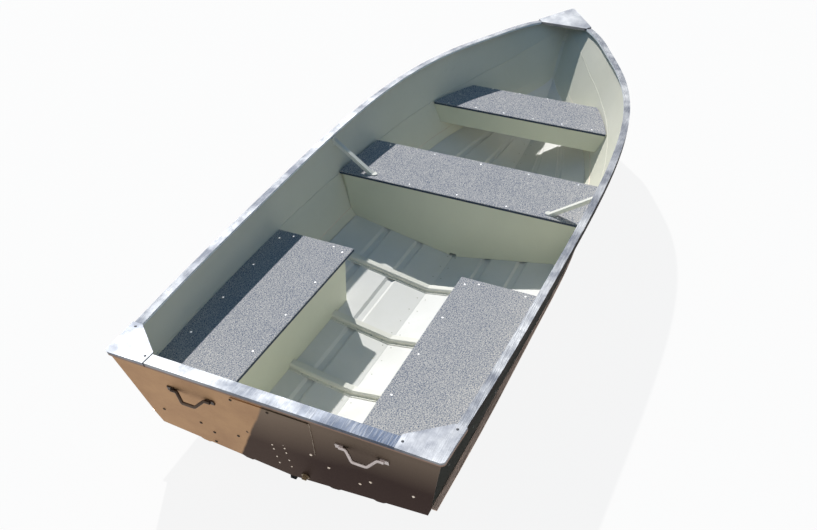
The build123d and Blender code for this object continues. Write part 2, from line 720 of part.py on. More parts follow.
# Fittings
def make_brace():
    """Port brace: a flat-sided tube from a foot on the middle seat up to the side of the hull."""
    x = BRACE_PLACE
    corners = [c for c in slice_at(CAVITY, x) if c[0] > 1.0]
    wall_y, wall_z = max(corners, key=lambda c: c[1])
    lower = min(corners, key=lambda c: abs(c[1] - TRANSOM.crease_z))
    flare = (wall_y - lower[0]) / (wall_z - lower[1])
    seat = THWART_TOP + JOINT
    high = wall_z - GUNWALE_OUTER_DROP - 16.0
    head_y = wall_y - flare * (wall_z - high)
    foot = box(x - BRACE_PAD, x + BRACE_PAD, BRACE_FOOT_Y, BRACE_FOOT_Y + 34, seat, seat + BRACE_TAB)
    foot = foot + Solid.make_cylinder(
        BRACE_PAD, BRACE_TAB, Plane(origin=(x, BRACE_FOOT_Y, seat), z_dir=(0, 0, 1)),
    )
    head = plate(
        [
            (x - 20, head_y - flare * 20, high - 20),
            (x - 20, head_y + flare * 20, high + 20),
            (x - 20, head_y + flare * 20 - BRACE_TAB, high + 20),
            (x - 20, head_y - flare * 20 - BRACE_TAB, high - 20),
        ],
        (1, 0, 0), 40.0,
    )
    start = Vector(x, BRACE_FOOT_Y + BRACE_PAD, seat + 1.0)
    axis = Vector(x, head_y - 2.0, high) - start
    across = Plane(origin=start - axis * 0.1, x_dir=(1, 0, 0), z_dir=axis)
    bore_width = BRACE_WIDTH - 2 * BRACE_WALL
    bore_thickness = BRACE_THICKNESS - 2 * BRACE_WALL
    outer = Solid.extrude(Face.make_rect(BRACE_WIDTH, BRACE_THICKNESS, across), axis * 1.2)
    inner = Solid.extrude(Face.make_rect(bore_width, bore_thickness, across), axis * 1.2)
    below_foot = box(x - 60, x + 60, 0, BEAM, seat - 60, seat)
    beyond = plate(
        [(x - 60, head_y - flare * 90, high - 90), (x - 60, head_y + flare * 90, high + 90),
         (x - 60, head_y + 200, high + 90), (x - 60, head_y + 200, high - 90)],
        (1, 0, 0), 120.0,
    )
    return largest((outer - inner - below_foot - beyond) + foot + head)


def aft_face(y, z, stand_off):
    """A point off the aft face of the transom skin."""
    back = JOINT + TRANSOM_SKIN + stand_off
    run = hypot(1.0, TRANSOM.lean)
    return Vector(off_transom(z, 0) - back / run, y, z + back * TRANSOM.lean / run)


def on_aft_face(y, z, stand_off):
    """A plane off the aft face of the transom skin, looking aft, with its x axis to port."""
    return Plane(origin=aft_face(y, z, stand_off), x_dir=(0, 1, 0), z_dir=AFTWARD)


def rod_along(points, radius, bend):
    """A bent rod through points; its twelve flats keep the facets few."""
    path = FilletPolyline(*points, radius=bend)
    start = Plane(origin=path @ 0, z_dir=path % 0)
    return sweep(start * RegularPolygon(radius, 12), path=path)


def make_handle(centre):
    """Lift handle: a rod bent out and down between two flat lugs bolted to the transom."""
    top = -HANDLE_BELOW_RAIL
    half = HANDLE_SPAN / 2
    rest = JOINT + HANDLE_ROD
    bends = (
        (-half, 0.0, rest),
        (-half * 0.7, 0.0, rest),
        (-HANDLE_GRIP / 2, HANDLE_HANG, HANDLE_STAND_OFF),
        (HANDLE_GRIP / 2, HANDLE_HANG, HANDLE_STAND_OFF),
        (half * 0.7, 0.0, rest),
        (half, 0.0, rest),
    )
    points = [aft_face(centre + aside, top - drop, off) for aside, drop, off in bends]
    handle = rod_along(points, HANDLE_ROD, 12.0)
    for aside in (-half, half):
        plane = on_aft_face(centre + aside, top, JOINT)
        lug = Solid.make_box(HANDLE_LUG_WIDTH, HANDLE_LUG_HEIGHT, HANDLE_LUG_SHEET)
        lug = lug.moved(Location((-HANDLE_LUG_WIDTH / 2, -HANDLE_LUG_HEIGHT / 2, 0)))
        handle = handle + lug.moved(plane.location)
    return largest(handle)


def make_motor_plate():
    """Clamp plate for the outboard on the aft face, narrower at its foot."""
    top = -MOTOR_PLATE_BELOW_RAIL
    low = top - MOTOR_PLATE_HEIGHT
    corners = (
        (-MOTOR_PLATE_TOP / 2, top),
        (MOTOR_PLATE_TOP / 2, top),
        (MOTOR_PLATE_FOOT / 2, low),
        (-MOTOR_PLATE_FOOT / 2, low),
    )
    outline = [aft_face(MOTOR_PLATE_Y + aside, z, JOINT) for aside, z in corners]
    face = Face(Wire.make_polygon(outline, close=True))
    face = face.fillet_2d(MOTOR_PLATE_CORNER, face.vertices())
    return Solid.extrude(face, Vector(*AFTWARD).normalized() * MOTOR_PLATE_SHEET)


def make_plug():
    """Drain plug with its flange, screwed into the foot of the transom."""
    plane = on_aft_face(PLUG_Y, -PLUG_BELOW_RAIL, JOINT)
    plug = Solid.make_cylinder(16.0, 3.0, plane)
    plug = plug + Solid.make_cylinder(11.0, 9.0, plane)
    grip = Solid.make_box(18.0, 5.0, 8.0).moved(Location((-9.0, -2.5, 8.0)))
    return largest(plug + grip.moved(plane.location))


def make_bow_eye():
    """Towing eye on the stem: a plate with a bent rod."""
    run = hypot(STEM.lean, 1.0)
    out = Vector(1.0 / run, 0, -STEM.lean / run)
    along = Vector(STEM.lean / run, 0, 1.0 / run)
    z = STEM.sheer_z - BOW_EYE_BELOW_RAIL - 60.0
    base = Vector(STEM.plane_x + STEM.lean * z, 0, z) + out * (2 * JOINT + STEM_DEPTH)
    plane = Plane(origin=base, x_dir=(0, 1, 0), z_dir=out)
    foot = Solid.make_box(26.0, 84.0, 4.0).moved(Location((-13.0, -42.0, 0)))
    foot = foot.fillet(8.0, [e for e in foot.edges() if abs(e.length - 4.0) < 0.01])
    points = [
        base + along * 26.0 + out * 2.0,
        base + along * 26.0 + out * 34.0,
        base - along * 26.0 + out * 34.0,
        base - along * 26.0 + out * 2.0,
    ]
    return largest(foot.moved(plane.location) + rod_along(points, 5.0, 20.0))


def make_pieces():
    """Every piece by name, in the drawing's frame."""
    pieces = {
        "transom_core": make_transom_core(),
        "transom_skin": make_transom_skin(),
        "transom_rail": make_rail(),
        "keel": make_keel(),
        "stem": make_stem(),
        "bow_cap": make_bow_cap(),
        "thwart_riser_aft": make_thwart_riser(THWART_AFT + THWART_OVERHANG, 1),
        "thwart_riser_forward": make_thwart_riser(THWART_FORWARD - THWART_OVERHANG - RISER, -1),
        "thwart_top": make_seat_top(THWART_AFT, THWART_FORWARD, THWART_TOP, SEAT_SPACE),
        "bow_seat_box": make_bow_box(),
        "bow_seat_top": make_seat_top(BOW_SEAT_AFT, BOW_SEAT_FORWARD, BOW_SEAT_TOP, SEAT_SPACE),
        "lift_handle_port": make_handle(HANDLE_CENTRES[0]),
        "lift_handle_starboard": make_handle(HANDLE_CENTRES[1]),
        "motor_plate": make_motor_plate(),
        "drain_plug": make_plug(),
        "bow_eye": make_bow_eye(),
    }
    for number, x in enumerate(RIB_PLACES, start=1):
        pieces[f"rib_{number}"] = make_rib(x)
    port_pieces = {
        "hull_side": SIDE,
        "chine_rail": CHINE,
        "hull_bottom": BOTTOM,
        "gunwale": GUNWALE,
        "corner_cap": make_corner_cap(),
        "bench_riser": make_bench_riser(),
        "bench_top": make_bench_top(),
        "brace": make_brace(),
    }
    for name, shape in port_pieces.items():
        pieces[f"{name}_port"] = shape
        pieces[f"{name}_starboard"] = mirrored(shape)
    return pieces


TO_ORIGIN = Location((-ORIGIN_FROM_TRANSOM, 0, WATERLINE_BELOW_RAIL))

os.makedirs("parts", exist_ok=True)
for name, shape in make_pieces().items():
    export_step(shape.moved(TO_ORIGIN), f"parts/{name}.step")
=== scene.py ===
import bmesh
import bpy
from math import cos, pi, radians, sin
from mathutils import Matrix, Vector


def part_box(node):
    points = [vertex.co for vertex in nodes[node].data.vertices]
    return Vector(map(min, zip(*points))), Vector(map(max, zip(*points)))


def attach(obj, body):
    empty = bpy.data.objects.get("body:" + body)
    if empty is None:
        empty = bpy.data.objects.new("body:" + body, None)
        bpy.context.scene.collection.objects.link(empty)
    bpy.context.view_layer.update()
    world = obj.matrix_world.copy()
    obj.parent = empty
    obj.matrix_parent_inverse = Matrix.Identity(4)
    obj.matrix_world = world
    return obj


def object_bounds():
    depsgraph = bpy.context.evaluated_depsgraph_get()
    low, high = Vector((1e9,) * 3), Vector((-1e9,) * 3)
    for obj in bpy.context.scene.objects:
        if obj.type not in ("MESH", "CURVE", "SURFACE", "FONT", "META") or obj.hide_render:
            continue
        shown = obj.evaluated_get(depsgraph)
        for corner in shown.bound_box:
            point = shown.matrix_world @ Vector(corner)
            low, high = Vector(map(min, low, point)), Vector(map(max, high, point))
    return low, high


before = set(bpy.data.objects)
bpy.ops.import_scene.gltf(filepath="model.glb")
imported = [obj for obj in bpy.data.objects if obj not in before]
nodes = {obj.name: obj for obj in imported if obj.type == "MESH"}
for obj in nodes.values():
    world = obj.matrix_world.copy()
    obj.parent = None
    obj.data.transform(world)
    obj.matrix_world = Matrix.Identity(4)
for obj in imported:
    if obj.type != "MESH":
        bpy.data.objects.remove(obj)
cad_low, cad_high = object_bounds()


# Studio: a pale floor under the keel, white surroundings, one sun from ahead to port and a cool
# sky for the shade. The camera stands behind the transom, above the starboard quarter.
scene = bpy.context.scene
scene.view_settings.view_transform = "Standard"

WHITE = (1.0, 1.0, 1.0, 1.0)
SKY_TINT = (0.062, 0.122, 0.192, 1.0)


def new_material(name):
    """A material with an empty node tree, its Principled shader and its output."""
    material = bpy.data.materials.new(name)
    material.use_nodes = True
    tree = material.node_tree
    shader = tree.nodes["Principled BSDF"]
    return material, tree, shader


def seen_directly(tree):
    """One where a camera, mirror or glass ray sees the surroundings, zero elsewhere."""
    path = tree.nodes.new("ShaderNodeLightPath")
    first = tree.nodes.new("ShaderNodeMath")
    first.operation = "MAXIMUM"
    tree.links.new(path.outputs["Is Camera Ray"], first.inputs[0])
    tree.links.new(path.outputs["Is Glossy Ray"], first.inputs[1])
    second = tree.nodes.new("ShaderNodeMath")
    second.operation = "MAXIMUM"
    tree.links.new(first.outputs[0], second.inputs[0])
    tree.links.new(path.outputs["Is Transmission Ray"], second.inputs[1])
    return second.outputs[0]


world = bpy.data.worlds.new("studio")
scene.world = world
world.use_nodes = True
tree = world.node_tree
sky = tree.nodes["Background"]
sky.inputs["Color"].default_value = SKY_TINT
backdrop = tree.nodes.new("ShaderNodeBackground")
backdrop.inputs["Color"].default_value = WHITE
blend = tree.nodes.new("ShaderNodeMixShader")
tree.links.new(seen_directly(tree), blend.inputs["Fac"])
tree.links.new(sky.outputs[0], blend.inputs[1])
tree.links.new(backdrop.outputs[0], blend.inputs[2])
tree.links.new(blend.outputs[0], tree.nodes["World Output"].inputs["Surface"])

FLOOR_REACH = 30.0
FLOOR_TONE = (0.80, 0.79, 0.77, 1.0)
FLOOR_ROUGH = 0.9
FLOOR_GLOW = 0.90
floor_mesh = bpy.data.meshes.new("studio_floor")
floor_corners = [
    (along * FLOOR_REACH, across * FLOOR_REACH, cad_low[2])
    for along, across in ((-1, -1), (1, -1), (1, 1), (-1, 1))
]
floor_mesh.from_pydata(floor_corners, [], [(0, 1, 2, 3)])
floor = bpy.data.objects.new("studio_floor", floor_mesh)
scene.collection.objects.link(floor)
material, tree, shader = new_material("studio_floor")
shader.inputs["Base Color"].default_value = FLOOR_TONE
shader.inputs["Roughness"].default_value = FLOOR_ROUGH
glow = tree.nodes.new("ShaderNodeEmission")
glow.inputs["Color"].default_value = WHITE
share = tree.nodes.new("ShaderNodeMath")
share.operation = "MULTIPLY"
share.inputs[1].default_value = FLOOR_GLOW
tree.links.new(seen_directly(tree), share.inputs[0])
blend = tree.nodes.new("ShaderNodeMixShader")
tree.links.new(share.outputs[0], blend.inputs["Fac"])
tree.links.new(shader.outputs[0], blend.inputs[1])
tree.links.new(glow.outputs[0], blend.inputs[2])
tree.links.new(blend.outputs[0], tree.nodes["Material Output"].inputs["Surface"])
floor_mesh.materials.append(material)

SUN_FROM = Vector((0.87, 0.75, 1.0))
SUN_STRENGTH = 3.7
SUN_COLOUR = (1.0, 0.985, 0.965)
SUN_SPREAD = 0.8
sun_data = bpy.data.lights.new("sun", "SUN")
sun_data.energy = SUN_STRENGTH
sun_data.color = SUN_COLOUR
sun_data.angle = radians(SUN_SPREAD)
sun = bpy.data.objects.new("sun", sun_data)
sun.rotation_euler = SUN_FROM.to_track_quat("Z", "Y").to_euler()
scene.collection.objects.link(sun)

LENS = 39.016
SENSOR_WIDTH = 36.0
CAMERA_PLACE = (-3.36084, -1.24237, 2.40146)
CAMERA_RIGHT = (0.4033236, -0.9150046, 0.0098335)
CAMERA_UP = (0.5202985, 0.2381553, 0.8201046)
CAMERA_BACK = (-0.7527414, -0.3256511, 0.5721292)
camera_data = bpy.data.cameras.new("camera")
camera_data.lens = LENS
camera_data.sensor_width = SENSOR_WIDTH
camera = bpy.data.objects.new("camera", camera_data)
turned = Matrix((CAMERA_RIGHT, CAMERA_UP, CAMERA_BACK)).transposed().to_4x4()
camera.matrix_world = Matrix.Translation(CAMERA_PLACE) @ turned
scene.collection.objects.link(camera)
scene.camera = camera


# Bottom sheets: two aluminium panels pressed with lengthwise strakes, riveted to the keel and the chine
# extrusions. Painted nearly white inside, a whiter copy of the interior paint as painted sunlight, and dark
# matt outside as a painted reflection of shaded ground, with stains.
# Painted light: the one interior paint comes in copies tinted to their light, whiter for the floor and
# yellower for the sides.
PAINT = (0.81, 0.795, 0.685, 1.0)
PAINT_GRIMY = (0.60, 0.59, 0.47, 1.0)
BOTTOM_PAINT_SUN_TINTED = (0.83, 0.82, 0.80, 1.0)
# Painted reflection: the outside is dark where bare metal showed the shaded ground.
OUTSIDE_SHADE_REFLECTION = (0.062, 0.060, 0.048, 1.0)
OUTSIDE_SHADE_REFLECTION_DARK = (0.030, 0.029, 0.024, 1.0)


def group_input(tree, name, kind, value):
    socket = tree.interface.new_socket(name, in_out="INPUT", socket_type=kind)
    socket.default_value = value


def place_group(tree, group, **values):
    node = tree.nodes.new("ShaderNodeGroup")
    node.node_tree = group
    for name, value in values.items():
        node.inputs[name.replace("_", " ")].default_value = value
    return node


def feed(tree, socket, value):
    """Sets the socket to a number or colour, or links it to another node's output."""
    if isinstance(value, (int, float, tuple)):
        socket.default_value = value
    else:
        tree.links.new(value, socket)


def math_node(tree, operation, first, second, clamp=False):
    node = tree.nodes.new("ShaderNodeMath")
    node.operation = operation
    node.use_clamp = clamp
    feed(tree, node.inputs[0], first)
    feed(tree, node.inputs[1], second)
    return node.outputs[0]


def scaled(tree, value, share):
    return math_node(tree, "MULTIPLY", value, share)


def mix_color(tree, factor, first, second):
    node = tree.nodes.new("ShaderNodeMix")
    node.data_type = "RGBA"
    feed(tree, node.inputs[0], factor)
    feed(tree, node.inputs[6], first)
    feed(tree, node.inputs[7], second)
    return node.outputs[2]


def mix_value(tree, factor, first, second):
    node = tree.nodes.new("ShaderNodeMix")
    feed(tree, node.inputs[0], factor)
    feed(tree, node.inputs[2], first)
    feed(tree, node.inputs[3], second)
    return node.outputs[0]


def noise(tree, vector, scale, detail, roughness=0.5):
    node = tree.nodes.new("ShaderNodeTexNoise")
    feed(tree, node.inputs["Vector"], vector)
    feed(tree, node.inputs["Scale"], scale)
    node.inputs["Detail"].default_value = detail
    node.inputs["Roughness"].default_value = roughness
    return node.outputs["Fac"]


def steps(tree, value, low, high):
    """Value stretched so that low becomes zero and high becomes one."""
    node = tree.nodes.new("ShaderNodeMapRange")
    node.inputs["From Min"].default_value = low
    node.inputs["From Max"].default_value = high
    tree.links.new(value, node.inputs["Value"])
    return node.outputs[0]


# The blotches group gives broad stains, fine marks and long scratches in the boat's own frame.
ALONG_THE_BOAT = (0.06, 1.0, 1.0)
STAIN_EDGES = (0.38, 0.68)
MARK_EDGES = (0.56, 0.74)
SCRATCH_EDGES = (0.45, 0.66)
blotches = bpy.data.node_groups.new("blotches", "ShaderNodeTree")
group_input(blotches, "Stain Scale", "NodeSocketFloat", 4.0)
group_input(blotches, "Mark Scale", "NodeSocketFloat", 60.0)
group_input(blotches, "Scratch Scale", "NodeSocketFloat", 90.0)
for name in ("Stain", "Marks", "Scratches"):
    blotches.interface.new_socket(name, in_out="OUTPUT", socket_type="NodeSocketFloat")
tree = blotches
inlet = tree.nodes.new("NodeGroupInput")
outlet = tree.nodes.new("NodeGroupOutput")
place = tree.nodes.new("ShaderNodeTexCoord").outputs["Object"]
stain = noise(tree, place, inlet.outputs["Stain Scale"], detail=6.0, roughness=0.62)
tree.links.new(steps(tree, stain, *STAIN_EDGES), outlet.inputs["Stain"])
marks = noise(tree, place, inlet.outputs["Mark Scale"], detail=4.0, roughness=0.7)
tree.links.new(steps(tree, marks, *MARK_EDGES), outlet.inputs["Marks"])
stretch = tree.nodes.new("ShaderNodeMapping")
stretch.inputs["Scale"].default_value = ALONG_THE_BOAT
tree.links.new(place, stretch.inputs["Vector"])
scratches = noise(tree, stretch.outputs[0], inlet.outputs["Scratch Scale"], detail=3.0)
tree.links.new(steps(tree, scratches, *SCRATCH_EDGES), outlet.inputs["Scratches"])

# The faces group tells the outer face of a sheet from its inner one, and upright faces from flat.
MIDDLE_OF_COCKPIT = (0.15, 0.0, 0.55)
UPRIGHT_BELOW = 0.5
sheet_faces = bpy.data.node_groups.new("sheet_faces", "ShaderNodeTree")
for name in ("Outside", "Upright"):
    sheet_faces.interface.new_socket(name, in_out="OUTPUT", socket_type="NodeSocketFloat")
tree = sheet_faces
outlet = tree.nodes.new("NodeGroupOutput")
surface = tree.nodes.new("ShaderNodeNewGeometry")
from_middle = tree.nodes.new("ShaderNodeVectorMath")
from_middle.operation = "SUBTRACT"
from_middle.inputs[1].default_value = MIDDLE_OF_COCKPIT
tree.links.new(surface.outputs["Position"], from_middle.inputs[0])
facing = tree.nodes.new("ShaderNodeVectorMath")
facing.operation = "DOT_PRODUCT"
tree.links.new(from_middle.outputs[0], facing.inputs[0])
tree.links.new(surface.outputs["True Normal"], facing.inputs[1])
outwards = math_node(tree, "GREATER_THAN", facing.outputs["Value"], 0.0)
tree.links.new(outwards, outlet.inputs["Outside"])
lean = tree.nodes.new("ShaderNodeSeparateXYZ")
tree.links.new(surface.outputs["True Normal"], lean.inputs[0])
upright = math_node(tree, "LESS_THAN", lean.outputs["Z"], UPRIGHT_BELOW)
tree.links.new(upright, outlet.inputs["Upright"])


def bump(tree, shader, height, strength, distance):
    node = tree.nodes.new("ShaderNodeBump")
    node.inputs["Strength"].default_value = strength
    node.inputs["Distance"].default_value = distance
    tree.links.new(height, node.inputs["Height"])
    tree.links.new(node.outputs[0], shader.inputs["Normal"])


PAINT_GRIME = 0.18
PAINT_SPECKS = 0.22
PAINT_SHEEN = 0.15
PAINT_ROUGH = (0.42, 0.56)
PAINT_RIPPLE = (0.12, 0.002)
BARE_STAINS = 0.7
BARE_SCRATCHES = 0.25
BARE_SHEEN = 0.02
BARE_ROUGH = (0.72, 0.85)


def paint_coat(tree, wear, paint, grimy):
    """Sprayed paint with faint grime and a few rubbed marks."""
    grime = scaled(tree, wear.outputs["Stain"], PAINT_GRIME)
    specks = scaled(tree, wear.outputs["Marks"], PAINT_SPECKS)
    return mix_color(tree, math_node(tree, "MAXIMUM", grime, specks), paint, grimy)


def painted_finish(name, paint=PAINT, grimy=PAINT_GRIMY):
    """Semi-gloss paint all over."""
    material, tree, shader = new_material(name)
    wear = place_group(tree, blotches, Stain_Scale=3.2, Mark_Scale=45.0, Scratch_Scale=55.0)
    tree.links.new(paint_coat(tree, wear, paint, grimy), shader.inputs["Base Color"])
    shader.inputs["Specular IOR Level"].default_value = PAINT_SHEEN
    tree.links.new(mix_value(tree, wear.outputs["Stain"], *PAINT_ROUGH), shader.inputs["Roughness"])
    bump(tree, shader, wear.outputs["Stain"], *PAINT_RIPPLE)
    return material


def sheet_finish(name, paint=PAINT, bare=OUTSIDE_SHADE_REFLECTION, bare_dark=OUTSIDE_SHADE_REFLECTION_DARK):
    """Paint inside, and outside a dark matt bare-metal colour with marks drawn out along the boat; on the
    hull sheets that darkness is a painted reflection of shaded ground.
    """
    material, tree, shader = new_material(name)
    wear = place_group(tree, blotches, Stain_Scale=3.2, Mark_Scale=45.0, Scratch_Scale=95.0)
    side = place_group(tree, sheet_faces).outputs["Outside"]
    metal = mix_color(tree, scaled(tree, wear.outputs["Stain"], BARE_STAINS), bare, bare_dark)
    metal = mix_color(tree, scaled(tree, wear.outputs["Scratches"], BARE_SCRATCHES), metal, bare_dark)
    coat = paint_coat(tree, wear, paint, PAINT_GRIMY)
    tree.links.new(mix_color(tree, side, coat, metal), shader.inputs["Base Color"])
    tree.links.new(mix_value(tree, side, PAINT_SHEEN, BARE_SHEEN), shader.inputs["Specular IOR Level"])
    rough_paint = mix_value(tree, wear.outputs["Stain"], *PAINT_ROUGH)
    rough_metal = mix_value(tree, wear.outputs["Marks"], *BARE_ROUGH)
    tree.links.new(mix_value(tree, side, rough_paint, rough_metal), shader.inputs["Roughness"])
    bump(tree, shader, wear.outputs["Stain"], *PAINT_RIPPLE)
    return material


SHARP_FROM = 28


def dress(node, material):
    """Gives a piece its finish, smooth across shallow facets."""
    piece = nodes[node]
    piece.data.materials.clear()
    piece.data.materials.append(material)
    for face in piece.data.polygons:
        face.use_smooth = True
    piece.data.set_sharp_from_angle(angle=radians(SHARP_FROM))


bottom_paint = sheet_finish("bottom_paint", paint=BOTTOM_PAINT_SUN_TINTED)
for side in ("port", "starboard"):
    dress(f"hull_bottom_{side}", bottom_paint)

KEEL_RIVET = (0.0036, 0.0014)
KEEL_RIVET_STEP = 0.095
KEEL_RIVET_ASIDE = 0.020
KEEL_RIVETS_FROM = -1.474
KEEL_RIVETS_TO = 1.45
RIB_REACH = 0.042
RIB_MIDDLES = [sum(corner[0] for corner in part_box(f"rib_{number}")) / 2 for number in range(1, 5)]
RIVET_TONE = (0.62, 0.62, 0.55, 1.0)
RIVET_GRIMY = (0.30, 0.30, 0.26, 1.0)
ABOVE = 1.0
DOWN = Vector((0.0, 0.0, -1.0))
HEAD_CORNERS = 10
HEAD_RINGS = ((1.0, 0.0), (0.9, 0.55), (0.55, 0.93))
HEAD_SUNK = 0.0002
HEAD_SHARP_FROM = 50


def rivet_heads(name, material, size, starts, looking, carriers):
    """Low domed heads, each pressed onto the first piece met from its starting place. The size
    is a head's radius and height."""
    radius, height = size
    form = bmesh.new()
    for start in starts:
        start = Vector(start)
        found = [nodes[carrier].ray_cast(start, looking) for carrier in carriers]
        found = [hit for hit in found if hit[0]]
        if not found:
            raise SystemExit(f"{name}: nothing carries the rivet at {tuple(start)}")
        _, point, normal, _ = min(found, key=lambda hit: (hit[1] - start).length)
        if normal.dot(looking) > 0:
            normal = -normal
        upright = normal.to_track_quat("Z", "Y").to_matrix().to_4x4()
        seat = Matrix.Translation(point - normal * HEAD_SUNK) @ upright
        before = None
        for share, lift in HEAD_RINGS:
            ring = []
            for corner in range(HEAD_CORNERS):
                turn = 2 * pi * corner / HEAD_CORNERS
                spot = Vector((radius * share * cos(turn), radius * share * sin(turn), height * lift))
                ring.append(form.verts.new(seat @ spot))
            if before:
                for corner in range(HEAD_CORNERS):
                    after = (corner + 1) % HEAD_CORNERS
                    form.faces.new((before[corner], before[after], ring[after], ring[corner]))
            else:
                form.faces.new(list(reversed(ring)))
            before = ring
        top = form.verts.new(seat @ Vector((0.0, 0.0, height)))
        for corner in range(HEAD_CORNERS):
            form.faces.new((before[corner], before[(corner + 1) % HEAD_CORNERS], top))
    mesh = bpy.data.meshes.new(name)
    form.to_mesh(mesh)
    form.free()
    for face in mesh.polygons:
        face.use_smooth = True
    mesh.set_sharp_from_angle(angle=radians(HEAD_SHARP_FROM))
    mesh.materials.append(material)
    piece = bpy.data.objects.new(name, mesh)
    scene.collection.objects.link(piece)
    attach(piece, "root")


bpy.context.view_layer.update()
keel_places = []
for number in range(int((KEEL_RIVETS_TO - KEEL_RIVETS_FROM) / KEEL_RIVET_STEP)):
    x = KEEL_RIVETS_FROM + number * KEEL_RIVET_STEP
    if min(abs(x - middle) for middle in RIB_MIDDLES) > RIB_REACH:
        keel_places += [(x, KEEL_RIVET_ASIDE, ABOVE), (x, -KEEL_RIVET_ASIDE, ABOVE)]
floor_rivet = painted_finish("floor_rivet", paint=RIVET_TONE, grimy=RIVET_GRIMY)
bottoms = ("hull_bottom_port", "hull_bottom_starboard")
rivet_heads("keel_rivets", floor_rivet, KEEL_RIVET, keel_places, DOWN, bottoms)


# Sides: one bent sheet each, from the chine to under the gunwale, with the long crease that stiffens them.
# Pale sage paint inside, a yellower copy of the interior paint as painted shade, the dark painted
# reflection outside, and one row of rivets over the crease that holds the ends of the seats.
side_paint = sheet_finish("side_paint")
for side in ("port", "starboard"):
    dress(f"hull_side_{side}", side_paint)

# Places along the boat and the height of the crease there.
CREASE = (
    (-1.60, 0.257), (-1.10, 0.252), (-0.55, 0.249), (0.05, 0.246), (0.53, 0.250),
    (0.95, 0.264), (1.30, 0.294), (1.58, 0.344), (1.77, 0.406), (1.85, 0.438),
)
CREASE_STEP = 0.04
CREASE_RIDGE = 0.0024
SIDES = (("port", 1), ("starboard", -1))


def crease_height(x):
    for (x_before, z_before), (x_after, z_after) in zip(CREASE, CREASE[1:]):
        if x <= x_after:
            return z_before + (z_after - z_before) * (x - x_before) / (x_after - x_before)
    return CREASE[-1][1]


crease_paint = painted_finish("crease_paint")
crease_from = CREASE[0][0]
crease_to = CREASE[-1][0]
crease_places = [
    crease_from + number * CREASE_STEP for number in range(int((crease_to - crease_from) / CREASE_STEP))
]
for side, outboard in SIDES:
    ridge = bpy.data.curves.new(f"crease_{side}", "CURVE")
    ridge.dimensions = "3D"
    ridge.bevel_depth = CREASE_RIDGE
    ridge.bevel_resolution = 1
    ridge.use_fill_caps = True
    line = ridge.splines.new("POLY")
    line.points.add(len(crease_places) - 1)
    for point, x in zip(line.points, crease_places):
        start = Vector((x, 0.0, crease_height(x)))
        _, on_side, _, _ = nodes[f"hull_side_{side}"].ray_cast(start, Vector((0.0, outboard, 0.0)))
        point.co = (*on_side, 1.0)
    piece = bpy.data.objects.new(f"crease_{side}", ridge)
    scene.collection.objects.link(piece)
    ridge.materials.append(crease_paint)
    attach(piece, "root")

SIDE_RIVET = (0.005, 0.002)
SIDE_RIVETS_FROM = -1.52
SIDE_RIVET_STEP = 0.19
SIDE_RIVET_COUNT = 13
SIDE_RIVET_HEIGHT = 0.27
SIDE_RIVET_TONE = (0.26, 0.23, 0.20, 1.0)
SIDE_RIVET_GRIMY = (0.10, 0.09, 0.08, 1.0)
side_rivet = painted_finish("side_rivet", paint=SIDE_RIVET_TONE, grimy=SIDE_RIVET_GRIMY)
for side, outboard in SIDES:
    starts = [
        (SIDE_RIVETS_FROM + number * SIDE_RIVET_STEP, outboard, SIDE_RIVET_HEIGHT)
        for number in range(SIDE_RIVET_COUNT)
    ]
    inwards = Vector((0.0, -outboard, 0.0))
    carriers = (f"hull_side_{side}",)
    rivet_heads(f"side_rivets_{side}", side_rivet, SIDE_RIVET, starts, inwards, carriers)


# Chine extrusions: an aluminium angle with a spray flange, riveted over the joint of side and bottom,
# painted inside with them and pinkish brown outside, a pale tone that is partly painted light.
# Partly painted light: the pinkish brown is brightened beyond the bare metal's own tone.
CHINE_METAL = (0.97, 0.78, 0.68, 1.0)
CHINE_METAL_DARK = (0.42, 0.32, 0.27, 1.0)
CHINE_STAINS = 0.4
CHINE_STREAKS = 0.6
CHINE_METALLIC = 0.9
CHINE_ROUGH = (0.55, 0.7)
CHINE_DRAWN = (0.15, 0.0008)
OFF_THE_SHEET = 0.001


def streaked_finish(name, bare, bare_dark):
    """Bare extrusion with dark streaks along it, on a pale base that is partly painted light."""
    material, tree, shader = new_material(name)
    wear = place_group(tree, blotches, Stain_Scale=4.0, Mark_Scale=60.0, Scratch_Scale=130.0)
    tone = mix_color(tree, scaled(tree, wear.outputs["Stain"], CHINE_STAINS), bare, bare_dark)
    tone = mix_color(tree, scaled(tree, wear.outputs["Scratches"], CHINE_STREAKS), tone, bare_dark)
    tree.links.new(tone, shader.inputs["Base Color"])
    shader.inputs["Metallic"].default_value = CHINE_METALLIC
    tree.links.new(mix_value(tree, wear.outputs["Marks"], *CHINE_ROUGH), shader.inputs["Roughness"])
    bump(tree, shader, wear.outputs["Scratches"], *CHINE_DRAWN)
    return material


chine_metal = streaked_finish("chine_metal", CHINE_METAL, CHINE_METAL_DARK)
for side in ("port", "starboard"):
    dress(f"chine_rail_{side}", side_paint)
    rail = nodes[f"chine_rail_{side}"].data
    rail.materials.append(chine_metal)
    for face in rail.polygons:
        _, on_side, _, _ = nodes[f"hull_side_{side}"].closest_point_on_mesh(face.center)
        _, on_bottom, _, _ = nodes[f"hull_bottom_{side}"].closest_point_on_mesh(face.center)
        outboard = abs(face.center.y) > abs(on_side.y) + OFF_THE_SHEET
        below = face.center.z < on_bottom.z - OFF_THE_SHEET
        face.material_index = 1 if outboard or below else 0


# Keel and stem: extruded bars that close the centre joint below and the two sides in front,
# painted inside with the sheets and rubbed bare outside by landing on sand.
KEEL_BARE = (0.12, 0.105, 0.09, 1.0)
KEEL_BARE_DARK = (0.05, 0.042, 0.036, 1.0)
keel_metal = sheet_finish("keel_metal", bare=KEEL_BARE, bare_dark=KEEL_BARE_DARK)
dress("keel", keel_metal)
dress("stem", keel_metal)

